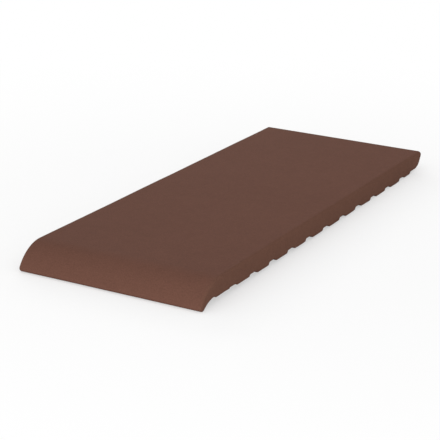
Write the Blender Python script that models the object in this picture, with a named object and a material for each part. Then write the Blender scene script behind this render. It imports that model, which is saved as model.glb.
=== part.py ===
"""Clinker window sill: one tile of clay, extruded as a long ribbon, cut to its width and fired.

The section lies in the YZ plane and is the same all the way across the width, along X. The nose is at
-Y and hangs over the wall below the window. It curves down to a drip edge, with a hollow behind it that
makes the water drop off. The underside has ribs and grooves that key into the mortar bed. The edges that
the cutting wire leaves at the two ends are rounded over, most at the top.

The origin is on the floor that the drip edge stands on, under the middle of the tile. +Z is up.
"""

import math

import bmesh
import bpy

MM = 0.001

# Overall size
LENGTH = 305.0 * MM  # from the nose to the back edge, along Y
WIDTH = 120.0 * MM  # between the two cut ends, along X
HEIGHT = 15.0 * MM  # from the drip edge to the top face

# Thickness, down from the top face
RIBBED_THICKNESS = 12.6 * MM  # to the faces of the ribs
GROOVED_THICKNESS = 11.0 * MM  # to the bottom of the grooves between the ribs
PLAIN_THICKNESS = 10.6 * MM  # at the crest of the hollow and along the strip at the back

# Nose
NOSE_RADIUS = 25.0 * MM  # the outer curve, which leaves the top face with no edge
DRIP_RADIUS = 2.2 * MM  # the round of the drip edge
HOLLOW_RADIUS = 17.5 * MM  # the curve behind the drip edge, which runs into the underside

# Ribs and grooves of the underside
FIRST_RIB_START = 16.0 * MM  # from the nose to the root of the first rib
RIB_PITCH = 23.6 * MM
RIB_ROOT_WIDTH = 15.6 * MM
RIB_FLANK_ANGLE = math.radians(60.0)  # between a rib's side and the underside
RIB_EDGE_RADIUS = 1.2 * MM  # where a rib's side turns into its face, and into the groove
NOSE_RIB_RELIEF = 1.0 * MM  # how much less the first rib stands out than the others
RELIEVED_RIBS = 2  # the relief fades out over this many ribs
END_RIB_RELIEF = 0.5 * MM  # the same for the narrow rib at the back
LEAST_RIB_WIDTH = 5.0 * MM  # a narrower one is left out

# Back edge
BACK_STRIP = 18.5 * MM  # the plain strip between the last rib and the back edge
BACK_RADIUS = 12.0 * MM  # the wide round that runs up from the underside
BACK_TOP_RADIUS = 2.5 * MM  # the tight one that goes on from it to the top face

# Rounding of the edges at the cut ends
END_ROUND_TOP = 2.0 * MM  # along the top face
END_ROUND_UNDER = 0.7 * MM  # along the underside
END_ROUND_NOSE = 1.1 * MM  # along the nose and the drip edge
END_ROUND_RISE = 5.0 * MM  # the height over which the one below grows into the one on top
NOSE_ROUND_LENGTH = 15.0 * MM  # how far back from the nose its own rounding goes on unchanged
NOSE_ROUND_RUN = 15.0 * MM  # the length over which it then changes into the others

# How finely the rounds are divided
FLATNESS = 0.02 * MM  # the most that a facet of the section cuts inside its arc
END_ROUND_STEPS = 4
SHARP_ANGLE = math.radians(40.0)

# Colour of the fired clay, in linear light
CLAY_COLOUR = (0.135, 0.066, 0.049, 1.0)
CLAY_ROUGHNESS = 0.62

NOSE_Y = -LENGTH / 2
BACK_Y = LENGTH / 2
RIB_Z = HEIGHT - RIBBED_THICKNESS
GROOVE_Z = HEIGHT - GROOVED_THICKNESS
PLAIN_Z = HEIGHT - PLAIN_THICKNESS


def clear_scene():
    for old in list(bpy.data.objects):
        bpy.data.objects.remove(old)


def arc(centre, radius, start, end):
    """Points from the angle start to the angle end, both of them included."""
    widest_step = 2 * math.acos(1 - FLATNESS / max(radius, FLATNESS))
    steps = max(1, math.ceil(abs(end - start) / widest_step))
    angles = [start + (end - start) * i / steps for i in range(steps + 1)]
    return [(centre[0] + radius * math.cos(a), centre[1] + radius * math.sin(a)) for a in angles]


def direction(start, end):
    return math.atan2(end[1] - start[1], end[0] - start[0])


def centre_beside(other, distance, z, side):
    """The centre at the height z that lies at a distance from another one, towards +Y or -Y."""
    return (other[0] + side * math.sqrt(distance**2 - (z - other[1]) ** 2), z)


def rounded(corner, before, after, radius):
    """The points that round off a corner between its two neighbours."""
    turn = direction(corner, after) - direction(before, corner)
    turn = (turn + math.pi) % (2 * math.pi) - math.pi
    room = min(math.dist(corner, before), math.dist(corner, after)) / 2
    setback = min(radius * math.tan(abs(turn) / 2), room)
    radius = setback / math.tan(abs(turn) / 2)
    side = math.copysign(math.pi / 2, turn)
    heading = direction(before, corner)
    start = (corner[0] - setback * math.cos(heading), corner[1] - setback * math.sin(heading))
    centre = (start[0] + radius * math.cos(heading + side), start[1] + radius * math.sin(heading + side))
    return arc(centre, radius, heading - side, heading - side + turn)


def nose_outline():
    """From the top face round the nose and the drip edge, up the hollow to the underside."""
    drip = (NOSE_Y + DRIP_RADIUS, DRIP_RADIUS)
    nose = centre_beside(drip, NOSE_RADIUS - DRIP_RADIUS, HEIGHT - NOSE_RADIUS, 1)
    hollow = centre_beside(drip, HOLLOW_RADIUS + DRIP_RADIUS, PLAIN_Z - HOLLOW_RADIUS, 1)
    onto_drip = direction(nose, drip)
    off_drip = direction(drip, hollow) + 2 * math.pi
    foremost = math.pi
    lowest = math.pi * 3 / 2
    outline = arc(nose, NOSE_RADIUS, math.pi / 2, onto_drip)
    outline += arc(drip, DRIP_RADIUS, onto_drip, foremost)[1:]
    outline += arc(drip, DRIP_RADIUS, foremost, lowest)[1:]
    outline += arc(drip, DRIP_RADIUS, lowest, off_drip)[1:]
    outline += arc(hollow, HOLLOW_RADIUS, off_drip - math.pi, math.pi / 2)[1:]
    return outline


def rib_places():
    """Where each rib starts and ends at its root, and the height of its face, from the nose to the back."""
    ribs = []
    strip_start = BACK_Y - BACK_STRIP
    start = NOSE_Y + FIRST_RIB_START
    while start + RIB_ROOT_WIDTH <= strip_start:
        relief = NOSE_RIB_RELIEF * max(0.0, 1 - len(ribs) / RELIEVED_RIBS)
        ribs.append((start, start + RIB_ROOT_WIDTH, RIB_Z + relief))
        start += RIB_PITCH
    if strip_start - start >= LEAST_RIB_WIDTH:
        ribs.append((start, strip_start, RIB_Z + END_RIB_RELIEF))
    return ribs


def rib_corners(start, end, face_z, root_before, root_after):
    """The four corners of a rib, from the nose's side to the back: root, face, face, root."""
    slope = math.tan(RIB_FLANK_ANGLE)
    face_start = start + (root_before - face_z) / slope
    face_end = end - (root_after - face_z) / slope
    return [(start, root_before), (face_start, face_z), (face_end, face_z), (end, root_after)]


def underside_outline(start, end):
    """The ribs with their edges rounded, between the end of the hollow and the start of the back's round."""
    ribs = rib_places()
    grooves = len(ribs) - 1
    roots = [PLAIN_Z] + [GROOVE_Z] * grooves + [PLAIN_Z]
    corners = [start]
    for rib, root_before, root_after in zip(ribs, roots, roots[1:]):
        corners += rib_corners(*rib, root_before, root_after)
    corners.append(end)
    outline = []
    for before, corner, after in zip(corners, corners[1:], corners[2:]):
        outline += rounded(corner, before, after, RIB_EDGE_RADIUS)
    return outline


def back_outline():
    """From the underside up the back and round to the top face."""
    tight = (BACK_Y - BACK_TOP_RADIUS, HEIGHT - BACK_TOP_RADIUS)
    wide = centre_beside(tight, BACK_RADIUS - BACK_TOP_RADIUS, PLAIN_Z + BACK_RADIUS, -1)
    join = direction(wide, tight)
    outline = arc(wide, BACK_RADIUS, -math.pi / 2, join)
    outline += arc(tight, BACK_TOP_RADIUS, join, 0.0)[1:]
    outline += arc(tight, BACK_TOP_RADIUS, 0.0, math.pi / 2)[1:]
    return outline


def section_outline():
    nose = nose_outline()
    back = back_outline()
    return nose + underside_outline(nose[-1], back[0]) + back


def eased(start, end, share):
    """A value between start and end that leaves the one and reaches the other smoothly."""
    share = min(1.0, max(0.0, share))
    return start + (end - start) * share * share * (3 - 2 * share)


def end_round(y, z):
    """The radius of a cut end's edge at a place in the section."""
    behind_nose = eased(END_ROUND_UNDER, END_ROUND_TOP, (z - PLAIN_Z) / END_ROUND_RISE)
    run = y - NOSE_Y - NOSE_ROUND_LENGTH
    return eased(END_ROUND_NOSE, behind_nose, run / NOSE_ROUND_RUN)


def end_ring(outline, side, angle):
    """The section drawn in along the rounding of one end, from its face, at the angle 0, to a quarter turn."""
    ring = []
    for before, point, after in zip(outline[-1:] + outline, outline, outline[1:] + outline[:1]):
        inward = direction(before, after) + math.pi / 2
        radius = end_round(*point)
        inset = radius * (1 - math.sin(angle))
        x = side * (WIDTH / 2 - radius * (1 - math.cos(angle)))
        ring.append((x, point[0] + inset * math.cos(inward), point[1] + inset * math.sin(inward)))
    return ring


def sill_rings():
    """Every ring of the tile, from one cut end's face to the other's."""
    outline = section_outline()
    angles = [math.pi / 2 * i / END_ROUND_STEPS for i in range(END_ROUND_STEPS + 1)]
    left = [end_ring(outline, -1, angle) for angle in angles]
    right = [end_ring(outline, 1, angle) for angle in reversed(angles)]
    return left + right


def clay_material():
    material = bpy.data.materials.new("clinker")
    material.use_nodes = True
    shader = material.node_tree.nodes["Principled BSDF"]
    shader.inputs["Base Color"].default_value = CLAY_COLOUR
    shader.inputs["Roughness"].default_value = CLAY_ROUGHNESS
    shader.inputs["Metallic"].default_value = 0.0
    return material


def window_sill():
    """The section swept across the width: each ring is the one before it, extruded and drawn in or out."""
    bm = bmesh.new()
    rings = sill_rings()
    verts = [bm.verts.new(point) for point in rings[0]]
    bm.faces.new(verts)
    for ring in rings[1:]:
        drawn = [bm.verts.new(point) for point in ring]
        for i, vert in enumerate(verts):
            bm.faces.new((verts[i - 1], vert, drawn[i], drawn[i - 1]))
        verts = drawn
    bm.faces.new(verts)
    bmesh.ops.recalc_face_normals(bm, faces=bm.faces)
    mesh = bpy.data.meshes.new("window_sill")
    bm.to_mesh(mesh)
    bm.free()
    mesh.materials.append(clay_material())
    mesh.shade_smooth()
    mesh.set_sharp_from_angle(angle=SHARP_ANGLE)
    sill = bpy.data.objects.new("window_sill", mesh)
    bpy.context.collection.objects.link(sill)


clear_scene()
window_sill()
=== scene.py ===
"""Clinker window sill: one fired clay tile with its surface, edges and colour, on a pale studio floor.

Lengths are in metres, in the tile's own frame: the nose is at -Y, the cut ends face -X and +X, +Z is up.
"""

import math
from collections import namedtuple

import bmesh
import bpy
from bpy.props import FloatProperty, FloatVectorProperty, PointerProperty
from mathutils import Matrix, Vector, noise


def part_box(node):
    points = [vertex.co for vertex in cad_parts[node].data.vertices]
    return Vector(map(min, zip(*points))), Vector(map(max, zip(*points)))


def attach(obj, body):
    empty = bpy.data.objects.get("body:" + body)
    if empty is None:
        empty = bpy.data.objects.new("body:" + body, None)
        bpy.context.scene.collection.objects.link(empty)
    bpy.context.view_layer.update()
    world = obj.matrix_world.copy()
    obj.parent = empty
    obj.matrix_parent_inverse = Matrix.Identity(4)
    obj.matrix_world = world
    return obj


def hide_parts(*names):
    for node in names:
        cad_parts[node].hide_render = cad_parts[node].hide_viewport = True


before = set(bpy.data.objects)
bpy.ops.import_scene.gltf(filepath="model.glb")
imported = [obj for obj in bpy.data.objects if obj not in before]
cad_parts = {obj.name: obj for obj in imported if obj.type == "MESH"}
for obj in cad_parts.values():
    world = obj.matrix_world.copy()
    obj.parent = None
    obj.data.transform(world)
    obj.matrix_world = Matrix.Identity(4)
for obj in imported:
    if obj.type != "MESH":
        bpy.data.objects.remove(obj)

bl_info = {
    "name": "Clinker Window Sill",
    "version": (1, 0, 0),
    "blender": (4, 5, 0),
    "location": "3D View > Sidebar > Window Sill",
    "description": "Finishes a fired clay window sill tile and sets it in a plain studio",
    "category": "Object",
}

MM = 0.001
NODE = "window_sill"
TILE_LOW, TILE_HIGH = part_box(NODE)
AXIS_X, AXIS_Y, AXIS_Z = 0, 1, 2

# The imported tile's mesh
MERGE_DISTANCE = 0.001 * MM
FLAT_ANGLE = math.radians(0.3)  # faces that meet at less than this are joined before the cuts
END_NORMAL = 0.999  # a face is on a cut end if its normal points along X at least this much
SHARP_ANGLE = math.radians(50.0)

# Parts of the section that the relief treats in their own way
LIP_LENGTH = 20.0 * MM  # from the nose to the end of the hollow behind the drip edge
UNDERSIDE_TOP = 5.0 * MM  # just above the bottoms of the grooves
UNDERSIDE_FADE = 3.0 * MM

# Fine surface of the clay
GRAIN_BUMP = 0.04 * MM
MOTTLE_BUMP = 0.05 * MM
PIT_BUMP = 0.06 * MM
PIT_RADIUS = 0.3 * MM
SPECK_RADIUS = 0.25 * MM
SPECK_TONE = 0.5  # the specks' colour as a share of the clay's
DRAG_BUMP = 0.014 * MM
DRAG_WIDTH = 1.1 * MM
DRAG_STRETCH = 30.0  # how much longer than wide the drag marks of the die are, along X
CUT_BUMP = 0.05 * MM
CUT_WIDTH = 0.6 * MM
CUT_STRETCH = 10.0  # how much longer than wide the marks of the cutting wire are, along Z
CUT_SKIN = 2.0 * MM  # how far in from a cut end its own skin reaches, round the edges
CUT_SKIN_SOLID = 1.0 * MM  # how far in from a cut end that skin is unbroken
ROUGHNESS_CHANGE = 0.06  # how much rougher or smoother the grains make the surface

# Soft noise: how many finer layers it has, and the range that most of it lies in
SOFT_LAYERS = 2.0
FINE_LAYERS = 3.0
NOISE_LOW = 0.25
NOISE_HIGH = 0.75

FLOOR_SEGMENTS = 96
FLOOR_RUN_OUT = 50.0 * MM  # how far behind the tile the floor's slope ends

# Softboxes: azimuth from -Y towards +X, height above the floor's level, and the brightness that each
# one alone gives a white surface that faces it, as a share of white
Softbox = namedtuple("Softbox", "name azimuth elevation distance width height level")
SOFTBOXES = (
    Softbox("front_softbox", azimuth=12.0, elevation=4.0, distance=0.7, width=0.9, height=0.08, level=0.43),
    Softbox("back_softbox", azimuth=-140.0, elevation=17.0, distance=2.0, width=1.6, height=0.3, level=0.31),
)


def length(name, description, default):
    """A length that the sidebar shows."""
    return FloatProperty(name=name, description=description, default=default, precision=5, unit="LENGTH")


def share(name, description, default):
    """A share from 0 to 1 that the sidebar shows as a slider."""
    return FloatProperty(
        name=name, description=description, default=default, min=0.0, max=1.0, subtype="FACTOR"
    )


def angle(name, description, degrees):
    """An angle that is written in degrees here and kept in radians."""
    return FloatProperty(
        name=name, description=description, default=math.radians(degrees), subtype="ANGLE", unit="ROTATION"
    )


def colour(name, description, default):
    """A colour in linear light."""
    return FloatVectorProperty(
        name=name, description=description, default=default, size=3, min=0.0, max=1.0, subtype="COLOR"
    )


class SILL_PG_relief(bpy.types.PropertyGroup):
    """The unevenness that pressing, cutting and firing leave on the tile"""

    grid: length("Grid", "Widest spacing of the cuts that divide the tile for its relief", 1.5 * MM)
    wave_size: length("Wave Size", "Width of the shallow waves that drying leaves on the faces", 55.0 * MM)
    wave_depth: length("Wave Depth", "Depth of the shallow waves", 0.16 * MM)
    dimple_size: length("Dimple Size", "Width of the small unevenness of the pressed skin", 7.0 * MM)
    dimple_depth: length("Dimple Depth", "Depth of the small unevenness", 0.04 * MM)
    wander_size: length("Cut Wander Size", "Distance over which the cutting wire wanders", 38.0 * MM)
    wander_depth: length("Cut Wander", "How far the cutting wire wanders into the tile", 0.35 * MM)
    squeeze_size: length("Squeeze Size", "Distance over which the squeeze changes", 15.0 * MM)
    squeeze_depth: length("Squeeze", "How far the cut pushes the underside up at the ends", 0.5 * MM)
    cut_reach: length("Cut Reach", "How far in from a cut end the cut has moved the clay", 7.0 * MM)


class SILL_PG_clay(bpy.types.PropertyGroup):
    """The colour and the fine surface of the fired clay"""

    tone: colour("Colour", "Middle colour of the fired clay", (0.128, 0.0597, 0.0427))
    cut_tone: colour("Cut Colour", "Colour of the clay where the wire cut it", (0.1255, 0.061, 0.0427))
    cloud_size: length("Cloud Size", "Width of the faint clouds that the kiln leaves", 60.0 * MM)
    cloud_contrast: share("Cloud Contrast", "How much lighter or darker the clouds are", 0.02)
    mottle_size: length("Mottle Size", "Width of the faint mottling", 6.0 * MM)
    mottle_contrast: share("Mottle Contrast", "How much lighter or darker the mottling is", 0.03)
    grain_size: length("Grain Size", "Width of the grains of the clay body", 0.7 * MM)
    grain_contrast: share("Grain Contrast", "How much lighter or darker the grains are", 0.13)
    speck_spacing: length("Speck Spacing", "Distance between the dark specks", 3.4 * MM)
    speck_strength: share("Speck Strength", "How clearly the dark specks show", 0.5)
    pit_spacing: length("Pit Spacing", "Distance between the small pits", 5.0 * MM)
    roughness: share("Roughness", "Roughness of the unglazed surface", 0.85)
    shine: share("Shine", "How strongly the surface shines at a low angle", 0.02)


class SILL_PG_studio(bpy.types.PropertyGroup):
    """The floor, the light and the camera"""

    floor_tone: colour("Floor Colour", "Colour of the floor", (0.96, 0.96, 0.96))
    floor_white: share("Floor White", "Share of plain white in the seen floor near the tile", 0.5)
    floor_radius: length("Floor Radius", "Radius of the round floor", 8.0)
    shadow_reach: length("Shadow Reach", "How far from the tile's middle the floor starts to whiten", 0.16)
    white_reach: length("White Reach", "How far from the tile's middle the floor is plain white", 0.45)
    sky_level: share("Sky Level", "Brightness of the white room, as a share of white", 0.87)
    lens: FloatProperty(
        name="Lens",
        description="Focal length on a 36 mm sensor",
        default=128.35,
        subtype="DISTANCE_CAMERA",
        unit="CAMERA",
    )
    camera_distance: length("Camera Distance", "Distance from the camera to its aim", 984.1 * MM)
    camera_azimuth: angle("Camera Azimuth", "Turn of the camera round the tile, from the nose to +X", 29.04)
    camera_elevation: angle("Camera Elevation", "Angle of the camera above the floor", 18.81)
    camera_roll: angle("Camera Roll", "Tilt of the camera about its line of sight", 0.89)
    camera_aim: FloatVectorProperty(
        name="Camera Aim",
        description="The point that the camera looks at",
        default=(-7.4 * MM, -12.3 * MM, 0.0),
        size=3,
        subtype="XYZ",
        unit="LENGTH",
    )


def link(context, name, data):
    """Puts a new object into the scene."""
    thing = bpy.data.objects.new(name, data)
    context.scene.collection.objects.link(thing)
    return thing


def mesh_from(bm, name, material):
    mesh = bpy.data.meshes.new(name)
    bm.to_mesh(mesh)
    bm.free()
    mesh.materials.append(material)
    return mesh


def eased(value, low, high):
    """0 at low and 1 at high, with a soft start and end between them."""
    part = min(1.0, max(0.0, (value - low) / (high - low)))
    return part * part * (3 - 2 * part)


def merged_copy(node):
    """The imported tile's mesh with its doubles merged and its flat faces joined."""
    bm = bmesh.new()
    bm.from_mesh(node.data)
    bmesh.ops.remove_doubles(bm, verts=bm.verts, dist=MERGE_DISTANCE)
    bmesh.ops.dissolve_limit(bm, angle_limit=FLAT_ANGLE, verts=bm.verts, edges=bm.edges)
    return bm


def all_faces(bm):
    return bm.faces[:]


def end_faces(bm):
    return [face for face in bm.faces if abs(face.normal.x) > END_NORMAL]


def cut_across(bm, faces, axis, spacing):
    """Cuts the chosen faces at even steps along an axis, no wider than the spacing."""
    low, high = TILE_LOW[axis], TILE_HIGH[axis]
    steps = math.ceil((high - low) / spacing)
    along = Vector((0.0, 0.0, 0.0))
    along[axis] = 1.0
    for i in range(1, steps):
        chosen = faces(bm)
        parts = set(chosen)
        for face in chosen:
            parts.update(face.edges)
            parts.update(face.verts)
        place = along * (low + (high - low) * i / steps)
        bmesh.ops.bisect_plane(bm, geom=list(parts), dist=MERGE_DISTANCE, plane_co=place, plane_no=along)


def dip(point, size):
    """Soft noise with hollows of about a size: 0 over half of the surface and up to 1 in the hollows."""
    return max(0.0, noise.noise(point / size))


def near_cut(place, reach):
    """1 at a cut end, fading to 0 further in than the reach."""
    return eased(abs(place.x), TILE_HIGH.x - reach, TILE_HIGH.x)


def beside(place):
    """The side of the tile's middle that a place is on: -1 or 1."""
    return math.copysign(1.0, place.x)


def press_in(bm, relief):
    """Moves the faces inwards by the waves and the dimples."""
    bm.normal_update()
    for vert in bm.verts:
        depth = relief.wave_depth * dip(vert.co, relief.wave_size)
        depth += relief.dimple_depth * dip(vert.co, relief.dimple_size)
        vert.co -= vert.normal * depth


def wander_in(bm, relief):
    """Moves the cut ends inwards where the cutting wire wandered."""
    for vert in bm.verts:
        along = Vector((beside(vert.co) * relief.wander_size, vert.co.y, 0.0))
        depth = relief.wander_depth * dip(along, relief.wander_size)
        vert.co.x -= beside(vert.co) * depth * near_cut(vert.co, relief.cut_reach)


def squeeze_up(bm, relief):
    """Lifts the underside unevenly near the cut ends, as the wire drags the soft clay along."""
    for vert in bm.verts:
        low_down = 1.0 - eased(vert.co.z, UNDERSIDE_TOP, UNDERSIDE_TOP + UNDERSIDE_FADE)
        behind_lip = eased(vert.co.y, TILE_LOW.y + LIP_LENGTH - UNDERSIDE_FADE, TILE_LOW.y + LIP_LENGTH)
        along = Vector((beside(vert.co) * relief.squeeze_size, vert.co.y, relief.squeeze_size / 2))
        depth = relief.squeeze_depth * dip(along, relief.squeeze_size)
        vert.co.z += depth * low_down * behind_lip * near_cut(vert.co, relief.cut_reach)


def keep_in_box(bm):
    """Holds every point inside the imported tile's box."""
    for vert in bm.verts:
        for axis in (AXIS_X, AXIS_Y, AXIS_Z):
            vert.co[axis] = min(TILE_HIGH[axis], max(TILE_LOW[axis], vert.co[axis]))


def set_input(node, name, value):
    node.inputs[name].default_value = value


def join(tree, value, socket):
    """Feeds a socket from another node's output, or sets it to a plain number."""
    if isinstance(value, bpy.types.NodeSocket):
        tree.links.new(value, socket)
    else:
        socket.default_value = value


def calculate(tree, operation, *values):
    node = tree.nodes.new("ShaderNodeMath")
    node.operation = operation
    for value, socket in zip(values, node.inputs):
        join(tree, value, socket)
    return node.outputs["Value"]


def total(tree, values):
    result = values[0]
    for value in values[1:]:
        result = calculate(tree, "ADD", result, value)
    return result


def spread(tree, value, low, high, to_low, to_high):
    """Maps a value from one range onto another, held to its ends."""
    node = tree.nodes.new("ShaderNodeMapRange")
    tree.links.new(value, node.inputs["Value"])
    set_input(node, "From Min", low)
    set_input(node, "From Max", high)
    set_input(node, "To Min", to_low)
    set_input(node, "To Max", to_high)
    return node.outputs["Result"]


def tinted(tree, factor, first, second):
    """Mixes two colours, each of them a socket or three numbers."""
    node = tree.nodes.new("ShaderNodeMix")
    node.data_type = "RGBA"
    tree.links.new(factor, node.inputs["Factor"])
    sockets = [socket for socket in node.inputs if socket.type == "RGBA"]
    for value, socket in zip((first, second), sockets):
        join(tree, value if isinstance(value, bpy.types.NodeSocket) else (*value, 1.0), socket)
    return next(socket for socket in node.outputs if socket.type == "RGBA")


def stretched(tree, place, scale):
    mapping = tree.nodes.new("ShaderNodeMapping")
    set_input(mapping, "Scale", scale)
    tree.links.new(place, mapping.inputs["Vector"])
    return mapping.outputs["Vector"]


def patches(tree, place, size, layers):
    """Soft patches of about a size, each layer after the first one half as wide as the one before."""
    texture = tree.nodes.new("ShaderNodeTexNoise")
    set_input(texture, "Scale", 1.0 / size)
    set_input(texture, "Detail", layers)
    tree.links.new(place, texture.inputs["Vector"])
    return texture.outputs["Fac"]


def dots(tree, place, spacing, radius):
    """1 in the middle of small round dots and 0 between them."""
    cells = tree.nodes.new("ShaderNodeTexVoronoi")
    set_input(cells, "Scale", 1.0 / spacing)
    tree.links.new(place, cells.inputs["Vector"])
    return spread(tree, cells.outputs["Distance"], 0.0, radius / spacing, 1.0, 0.0)


def variation(tree, fac, contrast):
    """Turns patches into a change of tone from -contrast to +contrast."""
    return spread(tree, fac, NOISE_LOW, NOISE_HIGH, -contrast, contrast)


def scaled(tree, tone, factor):
    """A colour made lighter or darker by a factor."""
    node = tree.nodes.new("ShaderNodeVectorMath")
    node.operation = "SCALE"
    tree.links.new(tone, node.inputs["Vector"])
    tree.links.new(factor, node.inputs["Scale"])
    return node.outputs["Vector"]


def cut_skin(tree, place):
    """1 on the cut ends and their rounded edges, 0 on the skin that the die pressed smooth."""
    across = tree.nodes.new("ShaderNodeSeparateXYZ")
    tree.links.new(place, across.inputs["Vector"])
    from_middle = calculate(tree, "ABSOLUTE", across.outputs["X"])
    return spread(tree, from_middle, TILE_HIGH.x - CUT_SKIN, TILE_HIGH.x - CUT_SKIN_SOLID, 0.0, 1.0)


def clay_colour(tree, place, clay, cut, mottle, grain):
    """The clay's colour, or the cut ends', changed a little by clouds, mottling and grain, with specks."""
    clouds = patches(tree, place, clay.cloud_size, SOFT_LAYERS)
    changes = (
        1.0,
        variation(tree, clouds, clay.cloud_contrast),
        variation(tree, mottle, clay.mottle_contrast),
        variation(tree, grain, clay.grain_contrast),
    )
    body = scaled(tree, tinted(tree, cut, clay.tone, clay.cut_tone), total(tree, changes))
    specks = dots(tree, place, clay.speck_spacing, SPECK_RADIUS)
    specks = calculate(tree, "MULTIPLY", specks, clay.speck_strength)
    return tinted(tree, specks, body, [channel * SPECK_TONE for channel in clay.tone])


def clay_height(tree, place, clay, cut, mottle, grain):
    """The fine surface: grain, pits, marks of the die along X, and marks of the wire on the cut ends."""
    drag = patches(tree, stretched(tree, place, (1.0 / DRAG_STRETCH, 1.0, 1.0)), DRAG_WIDTH, SOFT_LAYERS)
    wire = patches(tree, stretched(tree, place, (1.0, 1.0, 1.0 / CUT_STRETCH)), CUT_WIDTH, SOFT_LAYERS)
    pits = dots(tree, place, clay.pit_spacing, PIT_RADIUS)
    layers = (
        calculate(tree, "MULTIPLY", grain, GRAIN_BUMP),
        calculate(tree, "MULTIPLY", mottle, MOTTLE_BUMP),
        calculate(tree, "MULTIPLY", pits, -PIT_BUMP),
        calculate(tree, "MULTIPLY", drag, DRAG_BUMP),
        calculate(tree, "MULTIPLY", calculate(tree, "MULTIPLY", wire, cut), CUT_BUMP),
    )
    return total(tree, layers)


def clinker_material(clay):
    """Fired clay: faint clouds, mottling, grain and specks, with a finely grained matt surface."""
    material = bpy.data.materials.new("fired_clinker")
    material.use_nodes = True
    tree = material.node_tree
    shader = tree.nodes["Principled BSDF"]
    place = tree.nodes.new("ShaderNodeTexCoord").outputs["Object"]
    cut = cut_skin(tree, place)
    mottle = patches(tree, place, clay.mottle_size, FINE_LAYERS)
    grain = patches(tree, place, clay.grain_size, FINE_LAYERS)
    tree.links.new(clay_colour(tree, place, clay, cut, mottle, grain), shader.inputs["Base Color"])
    rough = total(tree, (variation(tree, grain, ROUGHNESS_CHANGE), clay.roughness))
    tree.links.new(rough, shader.inputs["Roughness"])
    set_input(shader, "Specular IOR Level", clay.shine)
    bump = tree.nodes.new("ShaderNodeBump")
    set_input(bump, "Distance", 1.0)
    tree.links.new(clay_height(tree, place, clay, cut, mottle, grain), bump.inputs["Height"])
    tree.links.new(bump.outputs["Normal"], shader.inputs["Normal"])
    return material


class SILL_OT_make_tile(bpy.types.Operator):
    """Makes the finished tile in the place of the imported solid"""

    bl_idname = "sill.make_tile"
    bl_label = "Make Tile"

    def execute(self, context):
        relief = context.scene.sill_relief
        bm = merged_copy(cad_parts[NODE])
        cut_across(bm, all_faces, AXIS_Y, relief.grid)
        cut_across(bm, all_faces, AXIS_X, relief.grid)
        cut_across(bm, end_faces, AXIS_Z, relief.grid)
        press_in(bm, relief)
        wander_in(bm, relief)
        squeeze_up(bm, relief)
        keep_in_box(bm)
        mesh = mesh_from(bm, "clinker_tile", clinker_material(context.scene.sill_clay))
        mesh.shade_smooth()
        mesh.set_sharp_from_angle(angle=SHARP_ANGLE)
        tile = link(context, "clinker_tile", mesh)
        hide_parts(NODE)
        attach(tile, "root")
        return {"FINISHED"}


def shown(tree):
    """1 where the camera sees something, straight or through a shiny or clear surface, else 0."""
    path = tree.nodes.new("ShaderNodeLightPath")
    rays = ("Is Camera Ray", "Is Glossy Ray", "Is Transmission Ray")
    return spread(tree, total(tree, [path.outputs[ray] for ray in rays]), 0.0, 1.0, 0.0, 1.0)


def floor_whiteness(tree, studio):
    """The floor's share of plain white where it is seen: least near the tile, so that its shadow shows."""
    away = tree.nodes.new("ShaderNodeVectorMath")
    away.operation = "LENGTH"
    tree.links.new(tree.nodes.new("ShaderNodeTexCoord").outputs["Object"], away.inputs["Vector"])
    reach = (studio.shadow_reach, studio.white_reach)
    white = spread(tree, away.outputs["Value"], *reach, studio.floor_white, 1.0)
    return calculate(tree, "MULTIPLY", white, shown(tree))


def floor_material(studio):
    """Plain matt floor that is partly plain white where it is seen, which pales the shadow on it."""
    material = bpy.data.materials.new("studio_floor")
    material.use_nodes = True
    tree = material.node_tree
    tree.nodes.remove(tree.nodes["Principled BSDF"])
    matt = tree.nodes.new("ShaderNodeBsdfDiffuse")
    set_input(matt, "Color", (*studio.floor_tone, 1.0))
    white = tree.nodes.new("ShaderNodeEmission")
    mix = tree.nodes.new("ShaderNodeMixShader")
    tree.links.new(floor_whiteness(tree, studio), mix.inputs["Fac"])
    tree.links.new(matt.outputs["BSDF"], mix.inputs[1])
    tree.links.new(white.outputs["Emission"], mix.inputs[2])
    tree.links.new(mix.outputs["Shader"], tree.nodes["Material Output"].inputs["Surface"])
    return material


def floor_contact():
    """Where along Y the drip edge stands, and the slope from it up to the first rib that a floor meets."""
    corners = [vert.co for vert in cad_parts[NODE].data.vertices]
    drip = min(corners, key=lambda corner: corner.z)
    ribs = [corner for corner in corners if corner.y > TILE_LOW.y + LIP_LENGTH]
    return drip.y, min((rib.z - drip.z) / (rib.y - drip.y) for rib in ribs)


def add_floor(context, studio):
    """A real tile leans back onto its ribs. This one is kept level, and the floor rises to meet it."""
    start, slope = floor_contact()
    end = TILE_HIGH.y + FLOOR_RUN_OUT
    bm = bmesh.new()
    bmesh.ops.create_circle(bm, cap_ends=True, segments=FLOOR_SEGMENTS, radius=studio.floor_radius)
    for edge_y in (start, end):
        parts = bm.verts[:] + bm.edges[:] + bm.faces[:]
        bmesh.ops.bisect_plane(bm, geom=parts, plane_co=(0.0, edge_y, 0.0), plane_no=(0.0, 1.0, 0.0))
    for vert in bm.verts:
        vert.co.z = slope * (min(end, max(start, vert.co.y)) - start)
    link(context, "studio_floor", mesh_from(bm, "studio_floor", floor_material(studio)))


def add_sky(context, studio):
    """A white room: plain white where it is seen, and dimmer as a light on the tile."""
    world = bpy.data.worlds.new("studio_room")
    world.use_nodes = True
    tree = world.node_tree
    background = tree.nodes["Background"]
    set_input(background, "Color", (1.0, 1.0, 1.0, 1.0))
    strength = spread(tree, shown(tree), 0.0, 1.0, studio.sky_level, 1.0)
    tree.links.new(strength, background.inputs["Strength"])
    context.scene.world = world


def direction(azimuth, elevation):
    """The way from the tile to something at an azimuth, from -Y towards +X, and an elevation."""
    level = math.cos(elevation)
    return Vector((math.sin(azimuth) * level, -math.cos(azimuth) * level, math.sin(elevation)))


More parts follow.
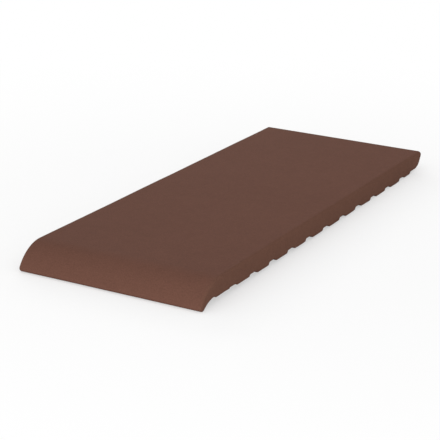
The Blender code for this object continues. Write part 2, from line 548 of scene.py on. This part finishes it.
def add_softbox(context, box):
    """A rectangular light that is aimed at the tile and that no camera sees."""
    light = bpy.data.lights.new(box.name, "AREA")
    light.shape = "RECTANGLE"
    light.size = box.width
    light.size_y = box.height
    light.energy = box.level * (math.pi * box.distance) ** 2
    way = direction(math.radians(box.azimuth), math.radians(box.elevation))
    softbox = link(context, box.name, light)
    softbox.location = way * box.distance
    softbox.rotation_euler = way.to_track_quat("Z", "Y").to_euler()
    softbox.visible_camera = False


def add_camera(context, studio):
    data = bpy.data.cameras.new("camera")
    data.lens = studio.lens
    camera = link(context, "camera", data)
    way = direction(studio.camera_azimuth, studio.camera_elevation)
    turn = Matrix.Rotation(studio.camera_azimuth, 4, "Z")
    turn @= Matrix.Rotation(math.pi / 2 - studio.camera_elevation, 4, "X")
    turn @= Matrix.Rotation(studio.camera_roll, 4, "Z")
    place = Vector(studio.camera_aim) + way * studio.camera_distance
    camera.matrix_world = Matrix.Translation(place) @ turn
    context.scene.camera = camera


class SILL_OT_make_studio(bpy.types.Operator):
    """Makes the floor, the white room, the softboxes and the camera"""

    bl_idname = "sill.make_studio"
    bl_label = "Make Studio"

    def execute(self, context):
        studio = context.scene.sill_studio
        add_floor(context, studio)
        add_sky(context, studio)
        for box in SOFTBOXES:
            add_softbox(context, box)
        add_camera(context, studio)
        context.scene.view_settings.view_transform = "Standard"
        return {"FINISHED"}


class SILL_PT_sidebar(bpy.types.Panel):
    """Lists the settings and the two steps that make the tile and its studio"""

    bl_label = "Window Sill"
    bl_space_type = "VIEW_3D"
    bl_region_type = "UI"
    bl_category = "Window Sill"

    def draw(self, context):
        self.show(context.scene.sill_relief)
        self.show(context.scene.sill_clay)
        self.layout.operator(SILL_OT_make_tile.bl_idname)
        self.show(context.scene.sill_studio)
        self.layout.operator(SILL_OT_make_studio.bl_idname)

    def show(self, settings):
        box = self.layout.box()
        for name in settings.bl_rna.properties.keys():
            if name not in ("rna_type", "name"):
                box.prop(settings, name)


SETTINGS = {"sill_relief": SILL_PG_relief, "sill_clay": SILL_PG_clay, "sill_studio": SILL_PG_studio}
CLASSES = (*SETTINGS.values(), SILL_OT_make_tile, SILL_OT_make_studio, SILL_PT_sidebar)


def register():
    for kind in CLASSES:
        bpy.utils.register_class(kind)
    for name, kind in SETTINGS.items():
        setattr(bpy.types.Scene, name, PointerProperty(type=kind))


def unregister():
    for name in SETTINGS:
        delattr(bpy.types.Scene, name)
    for kind in reversed(CLASSES):
        bpy.utils.unregister_class(kind)


def main():
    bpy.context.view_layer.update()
    register()
    bpy.ops.sill.make_tile()
    bpy.ops.sill.make_studio()


if __name__ == "__main__":
    main()
